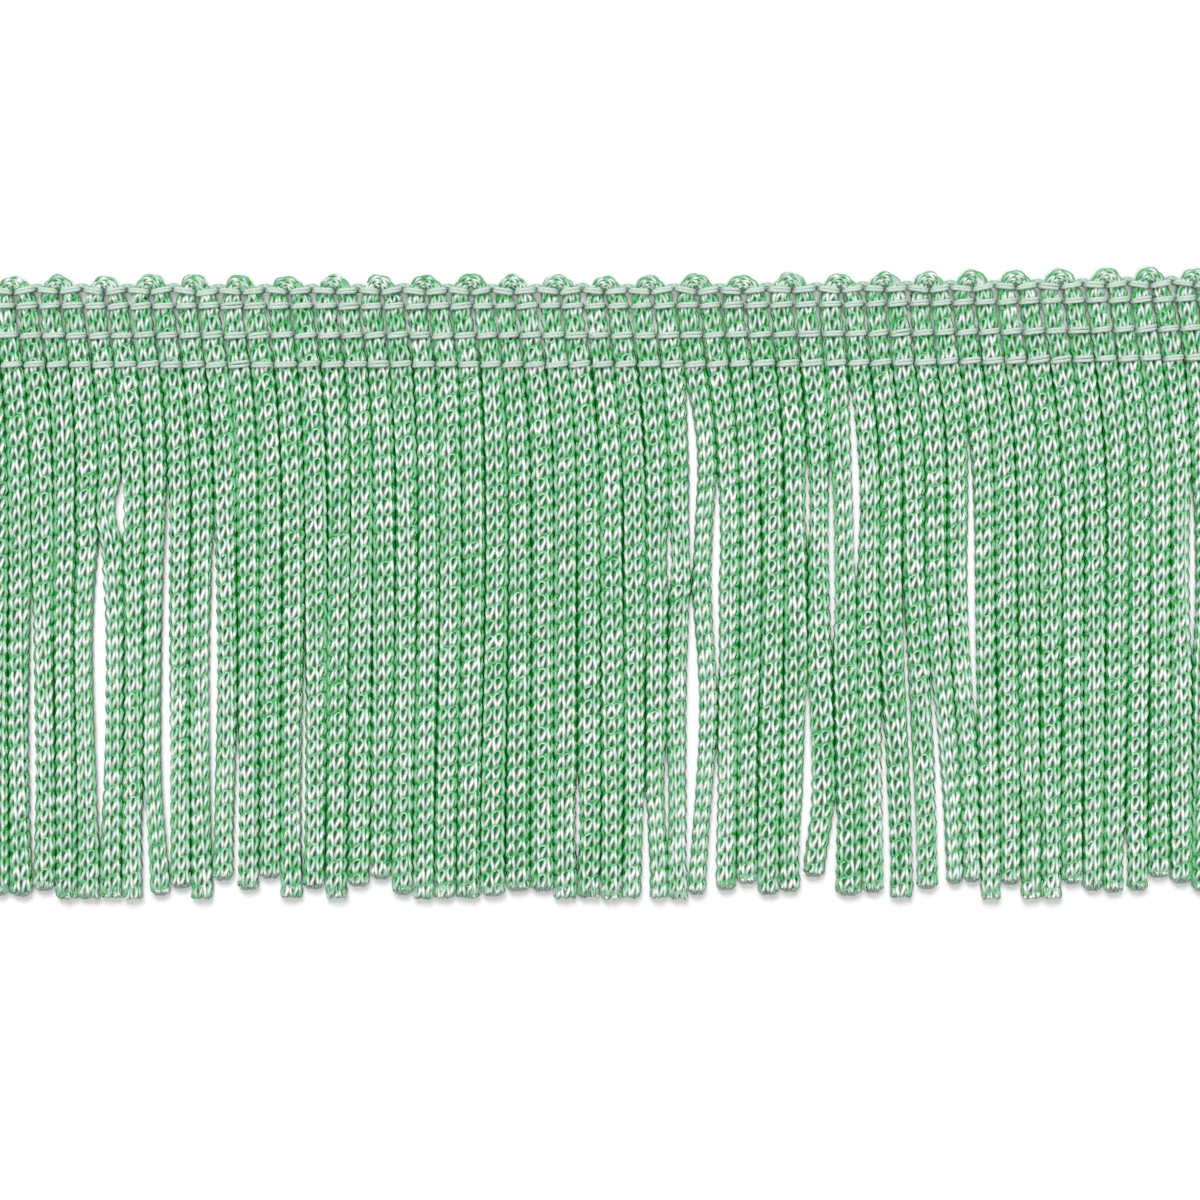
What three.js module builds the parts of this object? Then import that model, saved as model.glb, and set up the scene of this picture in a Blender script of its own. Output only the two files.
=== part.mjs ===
// A cut length of chainette fringe trim, lying face up. Knitted chainette cord is laid in hairpins that
// turn over at the top edge and are cut at the bottom, and rows of chain stitch hold it as the heading.
// Millimetres. +X runs along the trim, +Y across it towards the looped edge, +Z out of its face.
// The origin is on the heading's flat back, halfway along the trim and halfway up the heading.
import * as THREE from "three";
import { mergeVertices } from "three/addons/utils/BufferGeometryUtils.js";

// Driving dimensions.
const HAIRPINS = 28;
const STRANDS = 2 * HAIRPINS;
const STRAND_PITCH = 1.843;
const CORD = { headingWidth: 1.5, thickness: 1.25, topShare: 0.72 };
const STRAND_GAP = 0.16; // below the heading, where neighbours don't part further
const HEADING = { bottom: -3.3, top: 2.95, web: 0.5 };
const LOOP = { foot: 3.1, height: 1.4, outer: 1.2, inner: 0.14, lean: -0.2, steps: 6 };
const CUT_LINE = -46.35;
const END_RISE = { height: 0.65, power: 1.7 };

// Heights at which the sway table below is read: the loops, the lowest stitch row, mid-fringe and the cut.
const LEVELS = { loops: 4, row: -3, middle: -17.2, end: -45.7 };
const LEAN_FADE = 2.5; // how soon the lean below the heading straightens out

// How far the cords stray along X, at those four heights. A seam is the line between two strands, and
// seam 0 lies between strands 0 and 1.
const SWAY = [
  { seam: -1, loops: 0, row: 0.8, middle: 1.45, end: 1.6 },
  { seam: 5, loops: 0, row: 0.9, middle: 1.5, end: 1.6 },
  { seam: 11, loops: 0.05, row: 0.9, middle: 1.6, end: 1.55 },
  { seam: 17, loops: 0.35, row: 1.2, middle: 1.65, end: 1.4 },
  { seam: 21, loops: 0.25, row: 1.2, middle: 1.55, end: 1.05 },
  { seam: 25, loops: 0.1, row: 0.95, middle: 1.65, end: 1.65 },
  { seam: 28, loops: 0.1, row: 1.0, middle: 1.75, end: 1.85 },
  { seam: 31, loops: 0.2, row: 1.15, middle: 1.9, end: 1.65 },
  { seam: 34, loops: 0.25, row: 1.1, middle: 1.9, end: 1.6 },
  { seam: 36, loops: 0.6, row: 1.4, middle: 2.1, end: 1.85 },
  { seam: 38, loops: 0.95, row: 1.55, middle: 2.2, end: 2.8 },
  { seam: 41, loops: 0.75, row: 1.45, middle: 2.4, end: 3.6 },
  { seam: 44, loops: 0.5, row: 1.4, middle: 2.45, end: 2.95 },
  { seam: 47, loops: 0.25, row: 1.4, middle: 2.45, end: 2.4 },
  { seam: 50, loops: 0.25, row: 1.35, middle: 2.35, end: 2.05 },
  { seam: 55, loops: 0, row: 1.3, middle: 1.8, end: 1.95 },
];

// Where neighbouring strands part: the seam, the heights where the gap starts and ends, the height where
// it is widest, its width there, and the share of it that the strand on the left gives up.
const PARTINGS = [
  { seam: 2, start: -19, widest: -35, stop: -46, width: 0.4, left: 0.5 },
  { seam: 5, start: -16.8, widest: -25.5, stop: -43, width: 1.0, left: 0.55 },
  { seam: 6, start: -12.2, widest: -14.8, stop: -17.2, width: 0.55, left: 0.9 },
  { seam: 7, start: -37, widest: -46, stop: -56, width: 0.5, left: 0.4 },
  { seam: 8, start: -13, widest: -38, stop: -45, width: 0.62, left: 0.8 },
  { seam: 10, start: -16.5, widest: -28, stop: -45, width: 0.5, left: 0.6 },
  { seam: 11, start: -30, widest: -43, stop: -47, width: 0.25, left: 0.5 },
  { seam: 14, start: -22, widest: -38, stop: -46, width: 0.18, left: 0.5 },
  { seam: 26, start: -35, widest: -40, stop: -45, width: 0.15, left: 0.5 },
  { seam: 29, start: -37, widest: -46.5, stop: -56, width: 0.62, left: 0.6 },
  { seam: 30, start: -33, widest: -38, stop: -43, width: 0.22, left: 0.5 },
  { seam: 31, start: -5.3, widest: -10, stop: -21, width: 0.58, left: 0.3 },
  { seam: 31, start: -21, widest: -31, stop: -45.5, width: 0.92, left: 0.4 },
  { seam: 32, start: -11.5, widest: -18.5, stop: -30, width: 0.55, left: 0.6 },
  { seam: 32, start: -33, widest: -46, stop: -58, width: 0.62, left: 0.7 },
  { seam: 36, start: -28, widest: -39, stop: -45.5, width: 0.62, left: 0.4 },
  { seam: 37, start: -9.5, widest: -19, stop: -27, width: 0.32, left: 0.5 },
  { seam: 37, start: -38, widest: -46, stop: -54, width: 0.9, left: 0.9 },
  { seam: 38, start: -3.8, widest: -13, stop: -21.5, width: 0.46, left: 0.4 },
  { seam: 39, start: -29, widest: -45, stop: -60, width: 0.4, left: 0.5 },
  { seam: 41, start: -27, widest: -45, stop: -60, width: 0.58, left: 0.4 },
  { seam: 43, start: -7.5, widest: -20, stop: -34, width: 0.46, left: 0.6 },
  { seam: 50, start: -40, widest: -44, stop: -47, width: 0.2, left: 0.5 },
  { seam: 53, start: -12, widest: -19.5, stop: -28, width: 0.35, left: 0.5 },
];

// Strands that end short of the cut line, by strand number.
const SHORT_BY = {
  3: 0.45, 9: 0.65, 11: 1.3, 12: 0.5, 13: 1.45, 15: 0.6, 17: 0.8, 18: 1.4, 24: 0.4, 25: 0.4,
  33: 0.5, 34: 1.0, 36: 0.35, 37: 1.6, 39: 0.3, 41: 0.6, 42: 1.0, 43: 1.15, 45: 0.95, 48: 1.0,
  49: 0.45, 50: 0.3, 51: 0.45, 52: 1.5, 53: 1.05, 54: 0.4, 55: 0.5,
};
const CUT_WAVER = { height: 0.12, phase: 2.4 }; // the cut's own unevenness on the other strands

// Rows of chain stitch, lowest first. Each has one stitch over each strand.
const ROWS = [
  { name: "chain_row_1", y: -2.97, dip: 0 },
  { name: "chain_row_2", y: -0.61, dip: 0 },
  { name: "chain_row_3", y: 1.79, dip: 0 },
  { name: "chain_row_4", y: 3.12, dip: 0.3 },
];
const STITCH = { base: 1.55, height: 0.56, width: 0.7, topShare: 0.62, waist: 0.5, rise: 0.05, length: 1.14 };

const CORD_COLOUR = 0x9fd0b0;
const THREAD_COLOUR = 0xb9d3c3;

const clamp01 = (t) => Math.min(1, Math.max(0, t));
const smooth = (t) => t * t * (3 - 2 * t);

// The heading's gentle climb towards the trim's right end, fading out down the strands.
function climb(x, y) {
  const along = clamp01(x / (STRANDS * STRAND_PITCH / 2));
  const fade = clamp01((y - CUT_LINE) / (HEADING.bottom - CUT_LINE));
  return END_RISE.height * along ** END_RISE.power * fade;
}

// The sway of a seam at one level, read between the table's rows.
function swayAt(seam, level) {
  const after = Math.max(1, SWAY.findIndex((row, i) => row.seam >= seam || i === SWAY.length - 1));
  const [a, b] = [SWAY[after - 1], SWAY[after]];
  return THREE.MathUtils.lerp(a[level], b[level], smooth(clamp01((seam - a.seam) / (b.seam - a.seam))));
}

function sway(seam, y) {
  if (y > LEVELS.row) {
    const t = (LEVELS.loops - y) / (LEVELS.loops - LEVELS.row);
    return THREE.MathUtils.lerp(swayAt(seam, "loops"), swayAt(seam, "row"), t);
  }
  if (y > LEVELS.middle) {
    const t = (LEVELS.row - y) / (LEVELS.row - LEVELS.middle);
    return THREE.MathUtils.lerp(swayAt(seam, "row"), swayAt(seam, "middle"), 1 - (1 - t) ** LEAN_FADE);
  }
  const t = clamp01((LEVELS.middle - y) / (LEVELS.middle - LEVELS.end));
  return THREE.MathUtils.lerp(swayAt(seam, "middle"), swayAt(seam, "end"), smooth(t));
}

const seamX = (seam, y) => (seam - (STRANDS / 2 - 1)) * STRAND_PITCH + sway(seam, y);

// How far one parting is open at a height, from 0 to its width.
function openness(parting, y) {
  const towards = y > parting.widest ? parting.start : parting.stop;
  return parting.width * smooth(clamp01((towards - y) / (towards - parting.widest)));
}

// What the partings take from a strand on one side of it. Outside the heading it keeps a small clearance.
function taken(seam, y, side) {
  const clearance = y > HEADING.bottom ? (STRAND_PITCH - CORD.headingWidth) / 2 : STRAND_GAP / 2;
  return PARTINGS.filter((p) => p.seam === seam)
    .map((p) => openness(p, y) * (side === "left" ? p.left : 1 - p.left))
    .reduce((sum, width) => sum + width, clearance);
}

// The left and right edges of a strand at a height.
const strandEdges = (strand, y) => [
  seamX(strand - 1, y) + taken(strand - 1, y, "right"),
  seamX(strand, y) - taken(strand, y, "left"),
];

function strandEnd(strand) {
  const waver = CUT_WAVER.height * (0.5 + 0.5 * Math.sin(CUT_WAVER.phase * strand));
  return CUT_LINE + (SHORT_BY[strand] ?? waver);
}

// Gathers the faces of one closed mesh, corner by corner.
class Skin {
  corners = [];

  polygon(...points) {
    for (let i = 1; i < points.length - 1; i++) this.corners.push(points[0], points[i], points[i + 1]);
  }

  // Walls between two rings of as many points, leaving out the sides that are listed.
  walls(from, to, leftOut = []) {
    from.forEach((point, i) => {
      const next = (i + 1) % from.length;
      if (!leftOut.includes(i)) this.polygon(point, to[i], to[next], from[next]);
    });
  }

  geometry() {
    const loose = new THREE.BufferGeometry().setFromPoints(this.corners);
    const merged = mergeVertices(loose, 1e-4);
    merged.computeVertexNormals();
    return merged;
  }
}

const raised = (x, y, z) => new THREE.Vector3(x, y + climb(x, y), z);

// The four-sided section of a cord between two points on the floor, flat underneath and narrower on top.
function cordSection(outer, inner) {
  const shoulder = (1 - CORD.topShare) / 2;
  const along = (t, z) => raised(
    THREE.MathUtils.lerp(outer.x, inner.x, t),
    THREE.MathUtils.lerp(outer.y, inner.y, t),
    z,
  );
  return [
    along(0, 0), along(1, 0),
    along(1 - shoulder, CORD.thickness), along(shoulder, CORD.thickness),
  ];
}
const [OUTER_SIDE, INNER_SIDE] = [3, 1]; // which walls of that section are its sides

const LEG_LEVELS = [-41, -35, -29, -23, -17, -11.5, -7];
const HEADING_LEVELS = [HEADING.bottom, 0, HEADING.top];

// The sections of one strand from its cut end up to its loop. Its outer side faces away from the loop.
function legSections(strand, levels) {
  const outward = strand % 2;
  return levels.map((y) => {
    const edges = strandEdges(strand, y);
    return cordSection({ x: edges[outward], y }, { x: edges[1 - outward], y });
  });
}

// One cut piece of cord: up a strand, over its loop at the top edge, and down the next strand.
function addHairpin(skin, index) {
  const centre = seamX(2 * index, LOOP.foot);
  const turn = [];
  for (let i = 0; i <= LOOP.steps; i++) {
    const angle = Math.PI * (1 - i / LOOP.steps);
    const onArch = (radius, height) => ({
      x: centre + radius * Math.cos(angle) + LOOP.lean * Math.sin(angle),
      y: LOOP.foot + height * Math.sin(angle),
    });
    turn.push(cordSection(onArch(LOOP.outer, LOOP.height), onArch(LOOP.inner, LOOP.inner)));
  }
  const leg = (strand) => legSections(strand, [strandEnd(strand), ...LEG_LEVELS, ...HEADING_LEVELS]);
  const up = leg(2 * index);
  const down = leg(2 * index + 1);
  const sections = [...up, ...turn, ...down.reverse()];
  const fusedFrom = 1 + LEG_LEVELS.length;
  const isHeading = (i) => i >= fusedFrom && i < fusedFrom + HEADING_LEVELS.length - 1;
  for (let i = 0; i < sections.length - 1; i++) {
    const mirrored = sections.length - 2 - i;
    const fused = isHeading(i) || isHeading(mirrored);
    const outermost = isHeading(i) ? index === 0 : index === HAIRPINS - 1;
    const open = [INNER_SIDE, ...(outermost ? [] : [OUTER_SIDE])];
    skin.walls(sections[i], sections[i + 1], fused ? open : []);
  }
  skin.polygon(...sections[0]);
  skin.polygon(...sections.at(-1).reverse());
}

// The heading's web between a strand and the next, with a groove along its face.
function addWeb(skin, strand) {
  const side = (s, edge) => legSections(s, HEADING_LEVELS).map((section) => {
    const inner = (s % 2 === 0) === (edge === "right");
    return inner ? { foot: section[1], top: section[2] } : { foot: section[0], top: section[3] };
  });
  const left = side(strand, "right");
  const right = side(strand + 1, "left");
  const groove = left.map((l, i) => {
    const middle = l.foot.clone().lerp(right[i].foot, 0.5);
    return middle.setZ(HEADING.web);
  });
  for (let i = 0; i < left.length - 1; i++) {
    skin.polygon(left[i].top, groove[i], groove[i + 1], left[i + 1].top);
    skin.polygon(groove[i], right[i].top, right[i + 1].top, groove[i + 1]);
    skin.polygon(right[i].foot, left[i].foot, left[i + 1].foot, right[i + 1].foot);
  }
  const end = (i) => [groove[i], left[i].top, left[i].foot, right[i].foot, right[i].top];
  skin.polygon(...end(0));
  skin.polygon(...end(left.length - 1).reverse());
}

// One row of chain stitch: a bar whose section swells over each strand and draws in between two.
function chainRow(row) {
  const middleX = (strand) => (seamX(strand - 1, row.y) + seamX(strand, row.y)) / 2;
  const section = (x, y, scale) => {
    const half = (STITCH.width / 2) * scale;
    const top = STITCH.base + STITCH.height * scale;
    return [
      raised(x, y + half, STITCH.base), raised(x, y - half, STITCH.base),
      raised(x, y - half * STITCH.topShare, top), raised(x, y + half * STITCH.topShare, top),
    ];
  };
  const sections = [];
  for (let strand = 0; strand < STRANDS; strand++) {
    const overLeftLeg = strand % 2 === 0;
    const rise = row.dip === 0 ? STITCH.rise : (overLeftLeg ? -row.dip : row.dip);
    const waistY = row.y + (overLeftLeg ? row.dip / 2 : -row.dip / 2);
    sections.push(section(seamX(strand - 1, row.y), waistY, STITCH.waist));
    for (const along of [-STITCH.length / 2, STITCH.length / 2]) {
      sections.push(section(middleX(strand) + along, row.y + (rise * along) / STRAND_PITCH, 1));
    }
  }
  sections.push(section(seamX(STRANDS - 1, row.y), row.y + row.dip / 2, STITCH.waist));
  const skin = new Skin();
  for (let i = 0; i < sections.length - 1; i++) skin.walls(sections[i], sections[i + 1]);
  skin.polygon(...sections[0]);
  skin.polygon(...sections.at(-1).reverse());
  return skin.geometry();
}

const cordMaterial = new THREE.MeshStandardMaterial({ color: CORD_COLOUR, roughness: 0.45, metalness: 0 });
const threadMaterial = new THREE.MeshStandardMaterial({ color: THREAD_COLOUR, roughness: 0.8, metalness: 0 });

const trim = new THREE.Group();

const cords = new Skin();
for (let i = 0; i < HAIRPINS; i++) addHairpin(cords, i);
for (let strand = 0; strand < STRANDS - 1; strand++) addWeb(cords, strand);
const fringe = new THREE.Mesh(cords.geometry(), cordMaterial);
fringe.name = "fringe";
trim.add(fringe);

for (const row of ROWS) {
  const mesh = new THREE.Mesh(chainRow(row), threadMaterial);
  mesh.name = row.name;
  trim.add(mesh);
}

export default trim;
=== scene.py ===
"""The looks of a cut length of chainette fringe trim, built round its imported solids.

Lengths are worked out in millimetres and become metres where a mesh is made. +X runs along the trim, +Y
across it towards the looped edge, +Z out of its face, and the floor is z = 0.
"""

import math

import bpy
import numpy as np
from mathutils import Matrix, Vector


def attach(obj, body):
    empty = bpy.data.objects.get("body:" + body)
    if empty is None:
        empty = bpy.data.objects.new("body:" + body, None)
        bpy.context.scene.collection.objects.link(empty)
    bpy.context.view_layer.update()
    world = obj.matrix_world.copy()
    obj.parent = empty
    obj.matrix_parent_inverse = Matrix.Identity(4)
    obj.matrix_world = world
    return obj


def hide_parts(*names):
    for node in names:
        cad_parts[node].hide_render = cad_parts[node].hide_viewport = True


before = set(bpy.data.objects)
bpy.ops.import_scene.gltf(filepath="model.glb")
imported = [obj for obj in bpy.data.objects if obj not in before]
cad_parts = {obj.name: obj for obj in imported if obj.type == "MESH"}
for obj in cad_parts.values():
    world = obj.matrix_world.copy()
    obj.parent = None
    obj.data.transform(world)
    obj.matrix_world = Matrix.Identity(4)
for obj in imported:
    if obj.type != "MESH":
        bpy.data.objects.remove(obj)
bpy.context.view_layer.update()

MM = 0.001
UPWARDS = np.array([0.0, 0.0, 1.0])
RNG = np.random.default_rng(11)

# ---------------------------------------------------------------- the trim's layout
# It follows the solids, with a few thin partings more and pointed ends to them all.

HAIRPINS = 28
STRANDS = 2 * HAIRPINS
PITCH = 1.843
HEADING_BOTTOM = -3.3
CUT_LINE = -46.35
END_RISE = {"height": 0.65, "power": 1.7}
LEVELS = {"loops": 4, "row": -3, "middle": -17.2, "end": -45.7}
LEAN_FADE = 2.5

# How far the cords stray along X at those four levels.
SWAY_COLUMNS = ("seam", "loops", "row", "middle", "end")
SWAY = [
    dict(zip(SWAY_COLUMNS, row))
    for row in (
        (-1, 0, 0.8, 1.45, 1.6),
        (5, 0, 0.9, 1.5, 1.6),
        (11, 0.05, 0.9, 1.6, 1.55),
        (17, 0.35, 1.2, 1.65, 1.4),
        (21, 0.25, 1.2, 1.55, 1.05),
        (25, 0.1, 0.95, 1.65, 1.65),
        (28, 0.1, 1.0, 1.75, 1.85),
        (31, 0.2, 1.15, 1.9, 1.65),
        (34, 0.25, 1.1, 1.9, 1.6),
        (36, 0.6, 1.4, 2.1, 1.85),
        (38, 0.95, 1.55, 2.2, 2.8),
        (41, 0.75, 1.45, 2.4, 3.6),
        (44, 0.5, 1.4, 2.45, 2.95),
        (47, 0.25, 1.4, 2.45, 2.4),
        (50, 0.25, 1.35, 2.35, 2.05),
        (55, 0, 1.3, 1.8, 1.95),
    )
]

# Where neighbouring strands part, and the share of the gap that the strand on the left gives up.
PARTING_COLUMNS = ("seam", "start", "widest", "stop", "width", "left")
PARTINGS = [
    dict(zip(PARTING_COLUMNS, row))
    for row in (
        (2, -19, -35, -46, 0.4, 0.5),
        (5, -16.8, -25.5, -43, 1.0, 0.55),
        (6, -12.2, -14.8, -17.2, 0.55, 0.9),
        (7, -37, -46, -56, 0.5, 0.4),
        (8, -10.5, -34, -45, 0.62, 0.8),
        (10, -15, -28, -45, 0.5, 0.6),
        (11, -30, -43, -47, 0.25, 0.5),
        (14, -22, -38, -46, 0.18, 0.5),
        (26, -35, -40, -45, 0.15, 0.5),
        (29, -37, -46.5, -56, 0.62, 0.6),
        (30, -15, -18.5, -22, 0.2, 0.5),
        (30, -33, -38, -43, 0.22, 0.5),
        (31, -4.4, -9.5, -21, 0.58, 0.3),
        (31, -21, -31, -45.5, 0.92, 0.4),
        (32, -11.5, -18.5, -30, 0.55, 0.6),
        (32, -33, -46, -58, 0.62, 0.7),
        (36, -9.5, -14, -19, 0.18, 0.5),
        (36, -28, -39, -45.5, 0.62, 0.4),
        (37, -9.5, -19, -27, 0.32, 0.5),
        (37, -38, -46, -54, 0.9, 0.9),
        (38, -3.8, -13, -21.5, 0.46, 0.4),
        (39, -29, -45, -60, 0.4, 0.5),
        (40, -19, -35, -60, 0.2, 0.5),
        (41, -27, -45, -60, 0.58, 0.4),
        (43, -7.5, -20, -34, 0.46, 0.6),
        (50, -40, -44, -47, 0.2, 0.5),
        (53, -12, -19.5, -28, 0.35, 0.5),
    )
]
WEDGE = 0.65  # the power that gives the partings their pointed ends
YIELD = (0.5, 0.2)  # how far the next seam, and the one after it, move aside, as shares of a parting

# Strands that end short of the cut line.
SHORT_BY = {
    3: 0.45, 9: 0.65, 11: 1.3, 12: 0.5, 13: 1.45, 15: 0.6, 17: 0.8, 18: 1.4, 24: 0.4, 25: 0.4,
    33: 0.5, 34: 1.0, 36: 0.35, 37: 1.6, 39: 0.3, 41: 0.6, 42: 1.0, 43: 1.15, 45: 0.95, 48: 1.0,
    49: 0.45, 50: 0.3, 51: 0.45, 52: 1.5, 53: 1.05, 54: 0.4, 55: 0.5,
}
CUT_WAVER = {"height": 0.12, "phase": 2.4}
# The heights of the four rows of chain stitch.
ROW_Y = {"chain_row_1": -2.97, "chain_row_2": -0.61, "chain_row_3": 1.79, "chain_row_4": 3.12}


def smooth(t):
    t = np.clip(t, 0.0, 1.0)
    return t * t * (3 - 2 * t)


def lerp(a, b, t):
    return a + (b - a) * t


def climb(x, y):
    """The heading's gentle climb towards the trim's right end, fading out down the strands."""
    along = np.clip(x / (STRANDS * PITCH / 2), 0, 1)
    fade = np.clip((y - CUT_LINE) / (HEADING_BOTTOM - CUT_LINE), 0, 1)
    return END_RISE["height"] * along ** END_RISE["power"] * fade


def sway_at(seam, level):
    after = next((i for i, row in enumerate(SWAY) if row["seam"] >= seam), len(SWAY) - 1)
    a, b = SWAY[max(1, after) - 1], SWAY[max(1, after)]
    return lerp(a[level], b[level], smooth((seam - a["seam"]) / (b["seam"] - a["seam"])))


def opening(parting, y, side):
    """What one parting takes from the strand on one side of it."""
    towards = np.where(y > parting["widest"], parting["start"], parting["stop"])
    share = parting["left"] if side == "left" else 1 - parting["left"]
    return share * parting["width"] * smooth((towards - y) / (towards - parting["widest"])) ** WEDGE


def moved_aside(seam, y):
    """How far a seam moves along X to make room for the partings near it."""
    total = np.zeros_like(y)
    for parting in PARTINGS:
        away = seam - parting["seam"]
        if 0 < abs(away) <= len(YIELD):
            side = "left" if away < 0 else "right"
            total = total + math.copysign(YIELD[abs(away) - 1], away) * opening(parting, y, side)
    return total


def seam_x(seam, y):
    """Where the line between strand `seam` and the next runs, at heights y."""
    loops, row, middle, end = (sway_at(seam, level) for level in LEVELS)
    heading = lerp(loops, row, (LEVELS["loops"] - y) / (LEVELS["loops"] - LEVELS["row"]))
    upper_t = np.clip((LEVELS["row"] - y) / (LEVELS["row"] - LEVELS["middle"]), 0, 1)
    upper = lerp(row, middle, 1 - (1 - upper_t) ** LEAN_FADE)
    lower = lerp(middle, end, smooth((LEVELS["middle"] - y) / (LEVELS["middle"] - LEVELS["end"])))
    stray = np.where(y > LEVELS["row"], heading, np.where(y > LEVELS["middle"], upper, lower))
    return (seam - (STRANDS / 2 - 1)) * PITCH + stray + moved_aside(seam, y)


def taken(seam, y, side):
    """What the partings at a seam take from the strand on one side of it."""
    total = np.zeros_like(y)
    for parting in PARTINGS:
        if parting["seam"] == seam:
            total = total + opening(parting, y, side)
    return total


def strand_end(strand):
    waver = CUT_WAVER["height"] * (0.5 + 0.5 * math.sin(CUT_WAVER["phase"] * strand))
    return CUT_LINE + SHORT_BY.get(strand, waver)


# ---------------------------------------------------------------- meshes swept along many paths at once


def unit(v):
    return v / np.maximum(np.linalg.norm(v, axis=-1, keepdims=True), 1e-12)


def sweep(paths, ups, widths, section):
    """Tubes along paths (tubes, samples, 3). The section's corners are (across, outward) in half-widths.
    Returns points, quads, end caps, and each quad corner's place (around, along in mm)."""
    tubes, samples, _ = paths.shape
    corners = len(section)
    tangents = unit(np.gradient(paths, axis=1))
    across = unit(np.cross(tangents, ups))
    outward = np.cross(across, tangents)
    section = np.asarray(section, float)
    points = (
        paths[:, :, None]
        + across[:, :, None] * (section[:, 0] * widths[..., None])[..., None]
        + outward[:, :, None] * (section[:, 1] * widths[..., None])[..., None]
    )
    index = np.arange(tubes * samples * corners).reshape(tubes, samples, corners)
    here, there = index[:, :-1], index[:, 1:]
    quads = np.stack([here, there, np.roll(there, -1, 2), np.roll(here, -1, 2)], -1).reshape(-1, 4)
    steps = np.linalg.norm(np.diff(paths, axis=1), axis=-1)
    along = np.concatenate([np.zeros((tubes, 1)), np.cumsum(steps, 1)], 1)
    near = np.repeat(along[:, :-1, None], corners, 2)
    far = np.repeat(along[:, 1:, None], corners, 2)
    low = np.broadcast_to(np.arange(corners) / corners, near.shape)
    high = low + 1 / corners
    places = np.stack([np.stack([low, near], -1), np.stack([low, far], -1),
                       np.stack([high, far], -1), np.stack([high, near], -1)], -2)
    caps = np.concatenate([index[:, 0], index[:, -1, ::-1]]).reshape(-1, corners)
    return points.reshape(-1, 3), quads, caps, places.reshape(-1, 2)


def make_mesh(name, parts, materials, attributes):
    """One object from several parts, each as sweep() returns it and with its own material."""
    points = np.concatenate([p[0] for p in parts])
    starts = np.cumsum([0] + [len(p[0]) for p in parts])
    worn = list(dict.fromkeys(materials))
    loops, sizes, places, slots = [], [], [], []
    for start, (_, quads, caps, place), material in zip(starts, parts, materials):
        loops += [(quads + start).ravel(), (caps + start).ravel()]
        sizes += [np.full(len(quads), 4), np.full(len(caps), caps.shape[1])]
        places += [place, np.zeros((caps.size, 2))]
        slots.append(np.full(len(quads) + len(caps), worn.index(material)))
    loops, sizes, places, slots = (np.concatenate(rows) for rows in (loops, sizes, places, slots))
    mesh = bpy.data.meshes.new(name)
    mesh.vertices.add(len(points))
    mesh.vertices.foreach_set("co", (points * MM).astype(np.float32).ravel())
    mesh.loops.add(len(loops))
    mesh.loops.foreach_set("vertex_index", loops.astype(np.int32))
    mesh.polygons.add(len(sizes))
    mesh.polygons.foreach_set("loop_start", (np.cumsum(sizes) - sizes).astype(np.int32))
    mesh.polygons.foreach_set("use_smooth", np.ones(len(sizes), bool))
    for material in worn:
        mesh.materials.append(material)
    mesh.polygons.foreach_set("material_index", slots.astype(np.int32))
    layer = mesh.uv_layers.new(name="yarn")
    layer.data.foreach_set("uv", places.astype(np.float32).ravel())
    for key, values in attributes.items():
        mesh.attributes.new(key, "FLOAT", "POINT").data.foreach_set("value", values.astype(np.float32))
    mesh.update(calc_edges=True)
    made = bpy.data.objects.new(name, mesh)
    bpy.context.scene.collection.objects.link(made)
    return made


# ---------------------------------------------------------------- the cords

CORD = {
    "half_width": 0.9, "thickness": 0.62, "heading_thickness": 0.58, "pinch": 0.07, "pinch_reach": 0.42,
    "tuck": 0.03, "floor": 0.02, "heading_floor": 0.28, "stitch_lift": 0.03,
}
HEADING_FADE = {"below": 0.9, "over": 1.2}  # where the strands start to rise into the heading
STRAND_SAMPLES = 420
# How far apart neighbouring cords lie, at heights from below the heading up to the loops.
GAP_HEIGHTS = (-4.4, -3.2, -0.9, 1.5, 2.9)
GAP_WIDTHS = (-0.08, -0.06, 0.03, 0.13, 0.2)
PARTED = {"extra": 0.07, "by": 0.2}  # a parting adds this to the clearance once it is this wide
PRESSED = {"from": -0.02, "over": 0.06}  # the clearances over which a pressed side becomes a free one
# The hairpin's loop at the top edge, from its foot, and how much thinner and closer its yarn lies.
LOOP = {
    "foot": 2.83, "from": 2.3, "radius": 0.79, "height": 0.93, "half_width": 0.63,
    "lean": -0.1, "bulge": 0.5, "yarn": 0.75, "crowding": 1.6, "samples": 40,
}
LOOP_STRAY = {"radius": 0.09, "height": 0.12, "lean": 0.18}
# The knit: `wales` loops go once round the cord, and `course` is the length of cord that they cover. A
# loop's foot and head dip below the cord's face, and its shoulder is where the head begins.
KNIT = {
    "wales": 5, "course": 1.2, "spread": 0.235, "skew": 0.1, "reach": 0.58, "relief": 0.13,
    "yarn": 0.2, "sunk": 0.6, "waver": 0.06, "waver_phase": 0.9, "drift": 0.006,
    "shoulder": 0.35, "foot": 1.2, "head": 2.0, "dip_power": 1.8,
    "front_samples": 13, "back_samples": 6, "loop_samples": 14, "front": -0.45,
    "tension": (0.985, 1.015),  # the least and greatest course length, against the usual one
    "uneven": (0.09, 0.09, 0.06, 0.09),  # of a loop's height, width, place and paleness
}
# Painted shade: how much less pale the yarn is painted at its loops' sunk feet and heads, in the heading,
# and at a cord's edges.
PAINTED_SHADE = {"foot": 0.65, "foot_power": 1.2, "head": 0.8, "heading": 0.12, "edge": 0.5, "edge_from": 0.85}
FADE = 0.8  # the length over which one part of a cord changes into the next
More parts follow.
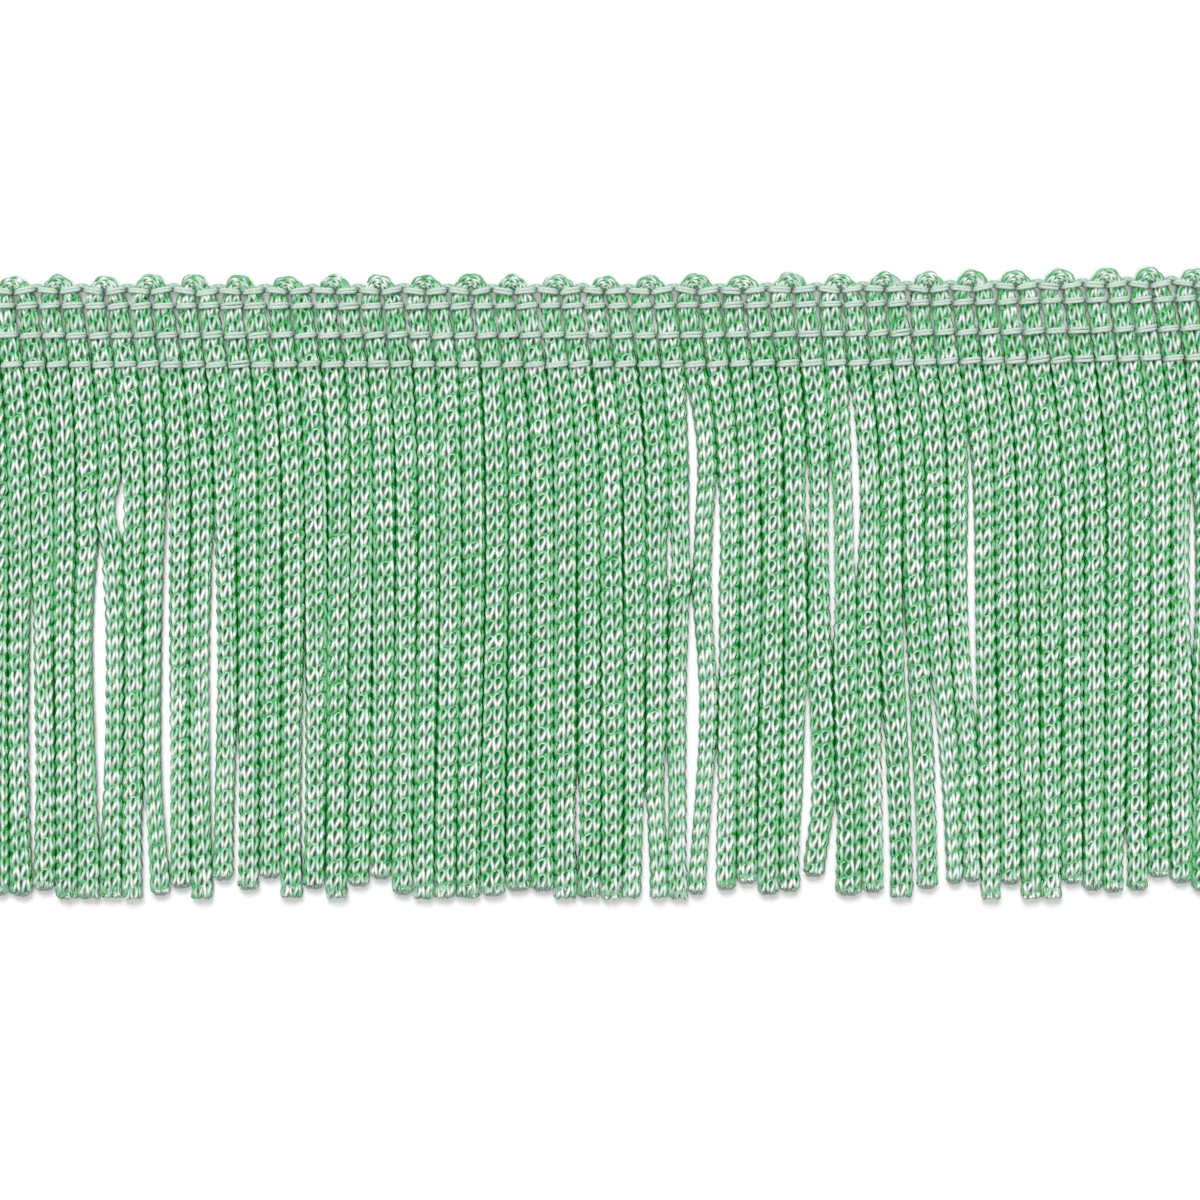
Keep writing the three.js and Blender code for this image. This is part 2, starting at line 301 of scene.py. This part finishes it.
# The far side of the knit, as a core in painted shade. Its rings are counted in a strand, a heading and
# the loop.
# It fills the knit's sides where neighbours press together, and stays further in where a side is free.
CORE = {
    "rings": (30, 8, 14), "pressed": 0.04, "free": 0.34, "deep": 0.35, "short": 0.45, "free_at_cut": 1.2,
}
YARN_SECTION = ((-1.08, -0.4), (0.0, 0.75), (1.08, -0.4))
# Painted light: the yarn is painted darker at its two side corners, as shade, and paler at its ridge, as
# highlight.
YARN_PAINTED_LIGHT = (-0.24, 0.08, -0.24)  # how pale the yarn is at those corners, against its middle tone
CORE_SECTION = tuple((math.sin(a), math.cos(a)) for a in np.linspace(0, 2 * math.pi, 8, endpoint=False))


def pinches(y):
    """1 where a stitch row binds the cords, falling to 0 between the rows."""
    return sum(np.exp(-(((y - row) / CORD["pinch_reach"]) ** 2)) for row in ROW_Y.values())


def clearance(seam, y):
    """Half the gap at a seam. Neighbours press together slightly, unless they part there."""
    parting = taken(seam, y, "left") + taken(seam, y, "right")
    return np.interp(y, GAP_HEIGHTS, GAP_WIDTHS) / 2 + PARTED["extra"] * smooth(parting / PARTED["by"])


def core_inset(strand, seam, y, to_loop):
    """How far a strand's core stays inside the side that faces a seam."""
    pressed = 1 - smooth((clearance(seam, y) - PRESSED["from"]) / PRESSED["over"])
    if seam in (-1, STRANDS - 1):
        pressed = 0
    clear_of_cut = smooth((y - strand_end(strand) - CORE["free_at_cut"]) / FADE)
    return lerp(CORE["free"], CORE["pressed"], pressed * clear_of_cut * (1 - to_loop))


def leg(strand, y, loop):
    """A strand at heights y, rising to its loop: centre line, half-width, half-thickness, height, and
    how far its core stays inside its inner and outer sides."""
    in_heading = smooth((y - HEADING_BOTTOM + HEADING_FADE["below"]) / HEADING_FADE["over"])
    left = seam_x(strand - 1, y) + taken(strand - 1, y, "right") + clearance(strand - 1, y)
    right = seam_x(strand, y) - taken(strand, y, "left") - clearance(strand, y)
    half_width = (right - left) / 2 - CORD["tuck"] * in_heading * pinches(y)
    centre = (left + right) / 2
    to_loop = smooth((y - loop["from"]) / (loop["foot"] - loop["from"]))
    if strand % 2 == 0:
        inner_seam, outer_seam, side = strand, strand - 1, -1
    else:
        inner_seam, outer_seam, side = strand - 1, strand, 1
    centre = lerp(centre, seam_x(inner_seam, y) + side * loop["radius"], to_loop)
    half_width = lerp(half_width, loop["half_width"], to_loop)
    thickness = lerp(CORD["thickness"], CORD["heading_thickness"], in_heading)
    thickness = thickness - CORD["pinch"] * in_heading * pinches(y)
    base = lerp(CORD["floor"], CORD["heading_floor"] + CORD["stitch_lift"] * pinches(y), in_heading)
    insets = (core_inset(strand, seam, y, to_loop) for seam in (inner_seam, outer_seam))
    return centre, half_width, thickness, base + thickness, *insets


def cord_route(hairpin):
    """A cord from its left cut end, over its loop, to its right cut end, as finely spaced columns: x, y,
    z, half-width, half-thickness, and how far its core stays inside its inner and outer sides."""
    loop = dict(LOOP)
    for key, stray in LOOP_STRAY.items():
        loop[key] += stray * RNG.uniform(-1, 1)
    columns = []
    for strand in (2 * hairpin, 2 * hairpin + 1):
        y = np.linspace(strand_end(strand), loop["foot"], STRAND_SAMPLES)
        x, half_width, thickness, z, inner, outer = leg(strand, y, loop)
        columns.append(np.stack([x, y + climb(x, y), z, half_width, thickness, inner, outer], 1))
    turn = np.linspace(math.pi, 0, LOOP["samples"] + 2)[1:-1]
    foot = columns[0][-1]
    centre = seam_x(2 * hairpin, np.array(loop["foot"]))
    x = centre + loop["radius"] * np.cos(turn) + loop["lean"] * np.sin(turn)
    y = loop["foot"] + loop["height"] * np.sin(turn)
    z = foot[2] + loop["bulge"] * np.sin(turn)
    arch = np.concatenate([np.stack([x, y + climb(x, y), z], 1), np.tile(foot[3:], (len(turn), 1))], 1)
    return np.concatenate([columns[0], arch, columns[1][::-1]])


# The brush of fibres at a cut end. `bare` is how far the knit ends from a felted cut.
TUFT = {
    "fibres": 80, "samples": 4, "inside": 0.95, "bare": 0.48, "least_reach": 0.25, "fill": 0.4,
    "fibre": 0.04, "fibre_range": (0.7, 1.4), "swell": 0.14, "gather": 0.3, "round": 0.26,
    "rim": 0.2, "stray": 0.06, "tone": 0.8,
}
# Strands whose ends were cut clean; the others are felted into a rounded brush.
SHARP_CUTS = {4, 5, 6, 7, 10, 14, 16, 20, 21, 22, 26, 27, 28, 29, 30, 31, 40, 44, 46, 47}
SHARP_BARE = 0.03  # how far the yarn ends from a sharp cut
FLATNESS = 2.05  # the exponent of the cords' rounded, slightly flattened section; 2 is an ellipse


def section_table(aspect):
    """The cords' section as (share of the rim walked, across, up), with across and up from -1 to 1."""
    angle = np.linspace(0, 2 * math.pi, 1441)
    across, up = (np.sign(v) * np.abs(v) ** (2 / FLATNESS) for v in (np.sin(angle), np.cos(angle)))
    rim = np.stack([aspect * across, up], 1)
    walked = np.concatenate([[0], np.cumsum(np.linalg.norm(np.diff(rim, axis=0), axis=1))])
    return walked / walked[-1], across, up


RIM_SHARE, RIM_ACROSS, RIM_UP = section_table(CORD["half_width"] / CORD["thickness"])


def knit_yarn(total, foot, ends):
    """The yarn that knits a cord of length `total`, with the loop's foot at `foot` and its knit cut off at
    the ends. It spirals round the cord, loop by loop. For points along it: the place along the cord, the
    share of the way round, the lift, the paleness, the half-width, and whether the cut has left it."""
    wales, course = KNIT["wales"], KNIT["course"] * RNG.uniform(*KNIT["tension"])
    turn_start, turn_rate = RNG.uniform(0, 1), KNIT["drift"] * RNG.uniform(-1, 1)
    whole = total + (total - 2 * foot) * (LOOP["crowding"] - 1)
    loops = int(whole / course * wales) + 4
    number = np.arange(loops)
    turned = (number + 0.5) / wales + turn_start + turn_rate * course * number / wales
    in_front = np.cos(2 * math.pi * turned) > KNIT["front"]
    in_loop = np.abs(course * number / wales - whole / 2) < whole / 2 - foot
    samples = np.where(in_front, KNIT["front_samples"], KNIT["back_samples"])
    samples = np.where(in_loop, KNIT["loop_samples"], samples)
    stage = np.concatenate([n + np.arange(k) / k for n, k in zip(number, samples)])
    t = stage % 1

    loop_number = stage.astype(int)
    taller, wider, shifted, paler = (RNG.normal(0, 1, (loops, 4)) * KNIT["uneven"])[loop_number].T
    rise = -np.cos(2 * math.pi * t)
    s = course * (stage - 2) / wales + KNIT["reach"] * course * (1 + taller) * rise
    s = s + shifted * np.sin(math.pi * t)
    s = np.interp(s, (0, foot, whole - foot, whole), (0, foot, total - foot, total))
    kept = (s > ends[0]) & (s < ends[1])
    s = np.clip(s, *ends)
    wale = loop_number + t + KNIT["spread"] * (1 + wider) * np.sin(4 * math.pi * t) + KNIT["skew"] * rise

    shoulder = KNIT["shoulder"]
    below = np.clip((shoulder - rise) / (1 + shoulder), 0, 1)
    above = np.clip((rise - shoulder) / (1 - shoulder), 0, 1)
    lift = 1 - KNIT["foot"] * below ** KNIT["dip_power"] - KNIT["head"] * above ** KNIT["dip_power"]
    heading_start = foot - (LOOP["foot"] - HEADING_BOTTOM)
    from_middle = np.abs(s - total / 2)
    in_heading = smooth((total / 2 - heading_start - from_middle) / FADE)
    to_loop = smooth((total / 2 - foot - from_middle) / FADE)
    # Painted shade at the sunk feet and heads and in the heading; `paler` is the yarn's own tone, varied
    # at random.
    paleness = 1 + paler - PAINTED_SHADE["foot"] * below ** PAINTED_SHADE["foot_power"] - PAINTED_SHADE["head"] * above
    paleness = paleness - PAINTED_SHADE["heading"] * (in_heading - to_loop)
    waver = 1 + KNIT["waver"] * np.sin(stage * KNIT["waver_phase"])
    width = KNIT["yarn"] * waver * lerp(1, LOOP["yarn"], to_loop)
    share = (wale / wales + turn_start + turn_rate * s) % 1
    return s, share, lift, paleness, width, kept


def along_cord(route, arc, s):
    """The route's columns at places s along a cord, and the level direction square to the cord there."""
    ahead = unit(np.gradient(route[:, :2], axis=0))
    ahead = unit(np.stack([np.interp(s, arc, ahead[:, i]) for i in (0, 1)], 1))
    sideways = np.stack([ahead[:, 1], -ahead[:, 0], np.zeros_like(s)], 1)
    return [np.interp(s, arc, column) for column in route.T], sideways


def knit_cord(hairpin):
    """One hairpin of knitted cord, with its core in painted shade and its cut ends."""
    strands = (2 * hairpin, 2 * hairpin + 1)
    route = cord_route(hairpin)
    steps = np.linalg.norm(np.diff(route[:, :3], axis=0), axis=1)
    arc = np.concatenate([[0], np.cumsum(steps)])
    foot = arc[len(route) // 2 - LOOP["samples"] // 2]
    bare = [SHARP_BARE if strand in SHARP_CUTS else TUFT["bare"] for strand in strands]
    ends = (bare[0], arc[-1] - bare[1])
    s, share, lift, paleness, width, kept = knit_yarn(arc[-1], foot, ends)

    columns, sideways = along_cord(route, arc, s)
    inset = KNIT["relief"] + KNIT["sunk"] * KNIT["yarn"]
    wide, thick = columns[3] - inset, columns[4] - inset
    across, up = np.interp(share, RIM_SHARE, RIM_ACROSS), np.interp(share, RIM_SHARE, RIM_UP)
    lean_out = np.sign(across) * np.abs(across) ** (FLATNESS - 1) / wide
    lean_up = np.sign(up) * np.abs(up) ** (FLATNESS - 1) / thick
    normal = unit(sideways * lean_out[:, None] + UPWARDS * lean_up[:, None])
    rim = sideways * (wide * across)[:, None] + UPWARDS * (thick * up)[:, None]
    path = np.stack(columns[:3], 1) + rim + normal * (KNIT["relief"] * lift)[:, None]
    # Painted shade: the yarn is painted less pale towards a cord's edges, where neighbouring cords meet.
    painted_edge_shade = smooth((np.abs(across) - PAINTED_SHADE["edge_from"]) / (1 - PAINTED_SHADE["edge_from"]))
    paleness = paleness * (1 - PAINTED_SHADE["edge"] * painted_edge_shade)

    # The cut takes the yarn's loops off at both ends, which leaves short lengths of it there.
    cuts = np.flatnonzero(np.diff(np.concatenate([[0], kept, [0]])))
    lengths = [slice(max(a - 1, 0), b + 1) for a, b in cuts.reshape(-1, 2) if b - a > 2]
    yarns = [sweep(path[None, k], normal[None, k], width[None, k], YARN_SECTION) for k in lengths]
    core = cord_core(route, arc, foot)
    tufts = [cut_end(route[0], route[1], strands[0]), cut_end(route[-1], route[-2], strands[1])]
    # The depth values feed the colour ramp, where pale stands in for highlight and deep green for shade.
    depth = np.concatenate([
        *((paleness[k, None] + YARN_PAINTED_LIGHT).ravel() for k in lengths),
        np.zeros(len(core[0])),
        *(np.full(len(tuft[0]), TUFT["tone"]) for tuft in tufts),
    ])
    materials = [CORD_MATERIAL] * len(yarns) + [SHADED_CORE_MATERIAL] + [CORD_MATERIAL] * len(tufts)
    return make_mesh(f"cord_{hairpin + 1:02d}", [*yarns, core, *tufts], materials, {"depth": depth})


def cord_core(route, arc, foot):
    """The inside of a cord, dark with painted shade, in the form that sweep() returns."""
    in_strand, in_heading, in_loop = CORE["rings"]
    total = arc[-1]
    heading = foot - (LOOP["foot"] - HEADING_BOTTOM)
    half = np.concatenate([
        np.linspace(CORE["short"], heading, in_strand, endpoint=False),
        np.linspace(heading, foot, in_heading, endpoint=False),
        np.linspace(foot, total / 2, in_loop // 2, endpoint=False),
    ])
    s = np.concatenate([half, total - half[::-1]])
    (x, y, z, wide, thick, inner, outer), sideways = along_cord(route, arc, s)
    across, up = np.asarray(CORE_SECTION).T
    reach = wide[:, None] - np.where(across > 0, inner[:, None], outer[:, None])
    rings = np.stack([x, y, z], 1)[:, None] + sideways[:, None] * (across * reach)[..., None]
    rings[..., 2] += up * (thick - CORE["deep"])[:, None]
    return ring_part(rings)


def cut_end(end, before, strand):
    """The brush of loose filaments at a strand's cut end, from two rows of its cord's route."""
    count = TUFT["fibres"]
    outward = unit(end[:3] - before[:3])
    side = np.array([-outward[1], outward[0], 0.0])
    bearing = RNG.uniform(0, 2 * math.pi, count)
    reach = RNG.uniform(TUFT["least_reach"], 1, count) ** TUFT["fill"]
    across, lift = reach * np.cos(bearing), reach * np.sin(bearing)
    sharp = strand in SHARP_CUTS
    short = RNG.uniform(0, TUFT["stray"], count) + (0 if sharp else TUFT["round"] * reach**2)
    gather = 0 if sharp else TUFT["gather"]
    t = np.linspace(0, 1, TUFT["samples"])[None]
    wide, thick = end[3] - TUFT["rim"], end[4] - TUFT["rim"]
    spread = 1 + TUFT["swell"] * np.sin(math.pi * t) - gather * t**3
    stray = RNG.normal(0, TUFT["stray"], (2, count, 1)) * t
    along = (TUFT["inside"] - short)[:, None] * t - TUFT["inside"]
    paths = (
        end[:3]
        + outward * along[..., None]
        + side * (across[:, None] * wide * spread + stray[0])[..., None]
        + UPWARDS * (lift[:, None] * thick * spread + stray[1])[..., None]
    )
    paths[..., 2] = np.maximum(paths[..., 2], TUFT["fibre"])
    ups = np.broadcast_to(UPWARDS, paths.shape)
    widths = np.full(paths.shape[:2], TUFT["fibre"]) * RNG.uniform(*TUFT["fibre_range"], (count, 1))
    return sweep(paths, ups, widths, YARN_SECTION)


def ring_part(rings):
    """A closed tube through given rings (rings, corners, 3), in the form that sweep() returns."""
    count, corners, _ = rings.shape
    index = np.arange(count * corners).reshape(count, corners)
    here, there = index[:-1], index[1:]
    quads = np.stack([here, there, np.roll(there, -1, 1), np.roll(here, -1, 1)], -1).reshape(-1, 4)
    caps = np.stack([index[0], index[-1, ::-1]])
    return rings.reshape(-1, 3), quads, caps, np.zeros((quads.size, 2))


# ---------------------------------------------------------------- the heading's chain stitch

THREAD = {
    "half_width": 0.152, "samples": 24, "sides": 5, "plies": 2, "twist": 0.5, "tilt": 0.13,
    "sunk": 0.95, "proud": 1.4, "legs_above": 1.3, "uneven": 0.07, "waves": (0.83, 0.11),
    "stray": (0.03, 0.15, 0.02, 0.05, 0.04),  # of a stitch's length, spread, place, tilt and height
}
# One chain stitch, as rows of (along, across, height). Along runs from 0 at one junction to 1 at the next.
STITCH = (
    (0.08, 0.0, 0.75),
    (0.14, 0.05, 1.22),
    (0.27, 0.10, 1.47),
    (0.50, 0.11, 1.54),
    (0.74, 0.115, 1.47),
    (0.88, 0.14, 1.2),
    (0.94, 0.05, 0.9),
    (0.88, -0.07, 1.16),
    (0.75, -0.105, 1.44),
    (0.50, -0.11, 1.51),
    (0.27, -0.11, 1.44),
    (0.13, -0.10, 1.18),
    (0.06, -0.08, 0.7),
    (0.16, 0.0, 0.22),
    (0.50, 0.0, 0.2),
    (0.84, 0.0, 0.22),
)
# The heights of the top row's junctions, under the loops and between them.
ZIGZAG = {"under_bump": (2.78, 2.94), "in_valley": (3.02, 3.22)}
VALLEY = {"y": 3.25, "half_width": 0.2, "samples": 16, "from": -0.9, "fullness": (0.6, 1.1)}
# The thread that arches over the valley between two loops: (x, y) from the valley's seam, and height.
VALLEY_ARCH = (
    (-0.95, -0.5, 0.75), (-0.72, -0.2, 1.0), (-0.35, 0.12, 1.05),
    (0.05, 0.22, 1.08), (0.42, 0.1, 1.04), (0.75, -0.2, 0.95), (0.9, -0.5, 0.7),
)


def curve_through(points, samples):
    """A smooth curve through rows of points, as `samples` evenly numbered points."""
    points = np.asarray(points, float)
    ends = np.concatenate([points[:1], points, points[-1:]])
    t = np.linspace(0, len(points) - 1 - 1e-9, samples)
    i, f = t.astype(int), (t % 1)[:, None]
    a, b, c, d = (ends[i + k] for k in range(4))
    squared, cubed = 2 * a - 5 * b + 4 * c - d, 3 * b - a - 3 * c + d
    return 0.5 * (2 * b + (c - a) * f + squared * f**2 + cubed * f**3)


def carried_ups(path):
    """An outward direction that is carried along a path without twisting about it."""
    tangents = unit(np.gradient(path, axis=0))
    ups = np.empty_like(path)
    up = np.array([0.3, 0.2, 1.0])
    for i, tangent in enumerate(tangents):
        up = unit(up - tangent * up.dot(tangent))
        ups[i] = up
    return ups


def round_section(sides):
    return [(math.cos(a), math.sin(a)) for a in np.linspace(0, 2 * math.pi, sides, endpoint=False)]


def thread_tube(points, samples, half_width):
    path = curve_through(points, samples)
    quick, slow = (np.sin(np.arange(samples) * wave) for wave in THREAD["waves"])
    widths = half_width * (1 + THREAD["uneven"] * quick * slow)
    return sweep(path[None], carried_ups(path)[None], widths[None], round_section(THREAD["sides"]))


def chain_row(name):
    """One row of chain stitch, a single thread from end to end of the trim."""
    zigzag = name == "chain_row_4"
    junctions = []
    for seam in range(-1, STRANDS):
        y = ROW_Y[name]
        x = float(seam_x(seam, np.array(y)))
        if zigzag:
            y = RNG.uniform(*(ZIGZAG["under_bump"] if seam % 2 == 0 else ZIGZAG["in_valley"]))
        junctions.append((x, y + float(climb(x, y))))
    points = []
    for (x0, y0), (x1, y1) in zip(junctions[:-1], junctions[1:]):
        longer, fuller, shift, turn, rise = RNG.normal(0, 1, 5) * THREAD["stray"]
        tilt = turn + (0 if zigzag else THREAD["tilt"])
        for along, across, height in STITCH:
            along = 0.5 + (along - 0.5) * (1 + longer)
            across = across * (1 + fuller) + shift + tilt * (along - 0.5)
            if height > THREAD["legs_above"]:
                height += rise
            points.append((lerp(x0, x1, along), lerp(y0, y1, along) + across, height))
    parts = [thread_tube(points, STRANDS * THREAD["samples"], THREAD["half_width"])]
    if zigzag:
        for seam in range(-1, STRANDS, 2):
            x = float(seam_x(seam, np.array(VALLEY["y"])))
            y = VALLEY["y"] + float(climb(x, VALLEY["y"]))
            full = RNG.uniform(*VALLEY["fullness"])
            shown = [row for row in VALLEY_ARCH if row[0] > VALLEY["from"] or seam > 0]
            arch = [(x + dx, y + dy * full, z) for dx, dy, z in shown]
            parts.append(thread_tube(arch, VALLEY["samples"], VALLEY["half_width"]))
    # Painted shade: the thread is painted darker the lower it lies, from its proud height down to its sunk
    # one.
    heights = np.concatenate([part[0][:, 2] for part in parts])
    depth = np.clip((heights - THREAD["sunk"]) / (THREAD["proud"] - THREAD["sunk"]), 0, 1)
    return make_mesh("thread_" + name[-1], parts, [THREAD_MATERIAL] * len(parts), {"depth": depth})


# ---------------------------------------------------------------- materials


def new_material(name):
    material = bpy.data.materials.new(name)
    material.use_nodes = True
    tree = material.node_tree
    return material, tree, tree.nodes["Principled BSDF"]


def yarn_places(tree):
    """The place on a yarn: a turn of the way round it as X, and millimetres along it as Y."""
    place = tree.nodes.new("ShaderNodeUVMap")
    place.uv_map = "yarn"
    return place.outputs["UV"]


def noise(tree, places, stretch, slant, scale, detail):
    """Streaks that lie along a yarn, or at a slant to it in degrees."""
    mapping = tree.nodes.new("ShaderNodeMapping")
    mapping.inputs["Scale"].default_value = stretch
    mapping.inputs["Rotation"].default_value = (0, 0, math.radians(slant))
    streaks = tree.nodes.new("ShaderNodeTexNoise")
    streaks.inputs["Scale"].default_value = scale
    streaks.inputs["Detail"].default_value = detail
    tree.links.new(places, mapping.inputs["Vector"])
    tree.links.new(mapping.outputs["Vector"], streaks.inputs["Vector"])
    return streaks.outputs["Fac"]


def times_plus(tree, value, factor, added):
    """value * factor + added, where value is a socket, factor a number and added either."""
    node = tree.nodes.new("ShaderNodeMath")
    node.operation = "MULTIPLY_ADD"
    node.inputs[1].default_value = factor
    tree.links.new(value, node.inputs[0])
    if isinstance(added, bpy.types.NodeSocket):
        tree.links.new(added, node.inputs[2])
    else:
        node.inputs[2].default_value = added
    return node.outputs["Value"]


def colour_ramp(tree, value, colours):
    """Colours by value, from rows of (place, red, green, blue)."""
    ramp = tree.nodes.new("ShaderNodeValToRGB")
    stops = ramp.color_ramp.elements
    stops[0].position, stops[1].position = colours[0][0], colours[-1][0]
    stops[0].color, stops[1].color = (*colours[0][1:], 1), (*colours[-1][1:], 1)
    for place, *colour in colours[1:-1]:
        stops.new(place).color = (*colour, 1)
    tree.links.new(value, ramp.inputs["Fac"])
    return ramp.outputs["Color"]


def depth_colours(tree, shader, texture, contrast, less, colours):
    """The yarn's colours by its depth attribute, which carries painted highlight and shade, streaked by a
    texture.
    """
    depth = tree.nodes.new("ShaderNodeAttribute")
    depth.attribute_name = "depth"
    streaked = times_plus(tree, texture, contrast, depth.outputs["Fac"])
    lowered = times_plus(tree, streaked, 1, -less)
    tree.links.new(colour_ramp(tree, lowered, colours), shader.inputs["Base Color"])


def fine_relief(tree, shader, height, depth):
    bump = tree.nodes.new("ShaderNodeBump")
    bump.inputs["Strength"].default_value = 0.5
    bump.inputs["Distance"].default_value = depth
    tree.links.new(height, bump.inputs["Height"])
    tree.links.new(bump.outputs["Normal"], shader.inputs["Normal"])


def rayon():
    """Bright, smooth filament yarn, painted pale, near white, as highlight where its loops stand proud,
    and deep green as shade in the holes.
    """
    material, tree, shader = new_material("rayon_cord")
    shader.inputs["Roughness"].default_value = 0.34
    shader.inputs["Specular IOR Level"].default_value = 0.9
    shader.inputs["Anisotropic"].default_value = 0.85
    shader.inputs["Sheen Weight"].default_value = 0.1
    shader.inputs["Sheen Roughness"].default_value = 0.4
    across = tree.nodes.new("ShaderNodeTangent")
    across.direction_type = "UV_MAP"
    across.uv_map = "yarn"
    tree.links.new(across.outputs["Tangent"], shader.inputs["Tangent"])
    filaments = noise(tree, yarn_places(tree), stretch=(18, 1.6, 1), slant=0, scale=1.0, detail=2.0)
    # Painted light: deep green stands in for shade in the holes, and the near-white top for highlight on
    # the proud loops.
    colours = (
        (0, 0.013, 0.38, 0.055), (0.4, 0.13, 0.42, 0.2),
        (0.8, 0.42, 0.575, 0.47), (1, 0.74, 0.77, 0.73),
    )
    depth_colours(tree, shader, filaments, contrast=0.9, less=0.45, colours=colours)
    fine_relief(tree, shader, filaments, depth=0.00003)
    return material


def shaded_inner_yarn():
    """The far side of the knit as seen through its holes, in painted shade: a deep green darker than the
    yarn, without shine.
    """
    material, tree, shader = new_material("cord_inside_painted_shade")
    shader.inputs["Roughness"].default_value = 0.9
    shader.inputs["Specular IOR Level"].default_value = 0.0
    mottle = tree.nodes.new("ShaderNodeTexNoise")
    mottle.inputs["Scale"].default_value = 2500.0
    place = tree.nodes.new("ShaderNodeTexCoord")
    tree.links.new(place.outputs["Object"], mottle.inputs["Vector"])
    # Painted shade: deep greens darker than the yarn's own.
    colours = ((0.35, 0.004, 0.19, 0.018), (0.65, 0.013, 0.31, 0.042))
    tree.links.new(colour_ramp(tree, mottle.outputs["Fac"], colours), shader.inputs["Base Color"])
    return material


def spun_thread():
    """Matte two-ply sewing thread, pale mint, with the grooves of its twist and fine loose fibres.
    It is painted deep green as shade where it lies low, and its grooves are shaded in its colour too.
    """
    material, tree, shader = new_material("heading_thread")
    shader.inputs["Roughness"].default_value = 0.85
    shader.inputs["Specular IOR Level"].default_value = 0.25
    shader.inputs["Sheen Weight"].default_value = 0.3
    shader.inputs["Sheen Roughness"].default_value = 0.6
    places = yarn_places(tree)
    fibres = noise(tree, places, stretch=(9, 3.2, 1), slant=35, scale=1.6, detail=3.0)
    twist = tree.nodes.new("ShaderNodeVectorMath")
    twist.operation = "DOT_PRODUCT"
    twist.inputs[1].default_value = (2 * math.pi * THREAD["plies"], 2 * math.pi / THREAD["twist"], 0)
    tree.links.new(places, twist.inputs[0])
    plies = tree.nodes.new("ShaderNodeMath")
    plies.operation = "SINE"
    tree.links.new(twist.outputs["Value"], plies.inputs[0])
    grooved = times_plus(tree, plies.outputs["Value"], 0.13, fibres)
    # Painted shade: deep green where the thread lies low; pale mint is its own colour on top.
    colours = ((0, 0.05, 0.27, 0.10), (0.6, 0.30, 0.46, 0.36), (1, 0.52, 0.63, 0.56))
    depth_colours(tree, shader, grooved, contrast=1.3, less=0.6, colours=colours)
    fine_relief(tree, shader, grooved, depth=0.0001)
    return material


def floor_material():
    material, _, shader = new_material("floor")
    shader.inputs["Base Color"].default_value = (0.785, 0.78, 0.79, 1)
    shader.inputs["Roughness"].default_value = 0.9
    return material


# ---------------------------------------------------------------- the scene

CORD_MATERIAL = rayon()
SHADED_CORE_MATERIAL = shaded_inner_yarn()
THREAD_MATERIAL = spun_thread()
for hairpin in range(HAIRPINS):
    cord = knit_cord(hairpin)
    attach(cord, "root")
    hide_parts("fringe")

for row_name in ROW_Y:
    thread = chain_row(row_name)
    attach(thread, "root")
    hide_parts(row_name)

floor = bpy.data.objects.new("floor", bpy.data.meshes.new("floor"))
FLOOR_REACH = 2  # metres
floor_corners = [(x * FLOOR_REACH, y * FLOOR_REACH, 0) for x, y in ((-1, -1), (1, -1), (1, 1), (-1, 1))]
floor.data.from_pydata(floor_corners, [], [(0, 1, 2, 3)])
floor.data.materials.append(floor_material())
bpy.context.scene.collection.objects.link(floor)

# The camera looks straight down. The lights' places are in metres, and they face the trim's middle.
CAMERA = {"x": 1.7, "y": -22.1, "height": 272.0, "lens": 100.0, "sensor": 36.0}
camera = bpy.data.objects.new("camera", bpy.data.cameras.new("camera"))
camera.data.lens = CAMERA["lens"]
camera.data.sensor_width = CAMERA["sensor"]
camera.location = (CAMERA["x"] * MM, CAMERA["y"] * MM, CAMERA["height"] * MM)
bpy.context.scene.collection.objects.link(camera)
bpy.context.scene.camera = camera

LIGHTS = {
    "key": {"place": (-0.1, 0.54, 0.9), "size": 0.44, "power": 7.9},
    "front": {"place": (0, -0.09, 1.2), "size": 0.52, "power": 7.8},
}
for light_name, look in LIGHTS.items():
    light = bpy.data.objects.new(light_name, bpy.data.lights.new(light_name, "AREA"))
    light.data.size = look["size"]
    light.data.energy = look["power"]
    light.location = look["place"]
    aim = Vector((CAMERA["x"] * MM, CAMERA["y"] * MM, 0)) - light.location
    light.rotation_mode = "QUATERNION"
    light.rotation_quaternion = aim.to_track_quat("-Z", "Y")
    bpy.context.scene.collection.objects.link(light)

world = bpy.data.worlds.new("studio")
world.use_nodes = True
world.node_tree.nodes["Background"].inputs["Color"].default_value = (1, 1, 1, 1)
world.node_tree.nodes["Background"].inputs["Strength"].default_value = 0.25
bpy.context.scene.world = world
bpy.context.scene.view_settings.view_transform = "Standard"
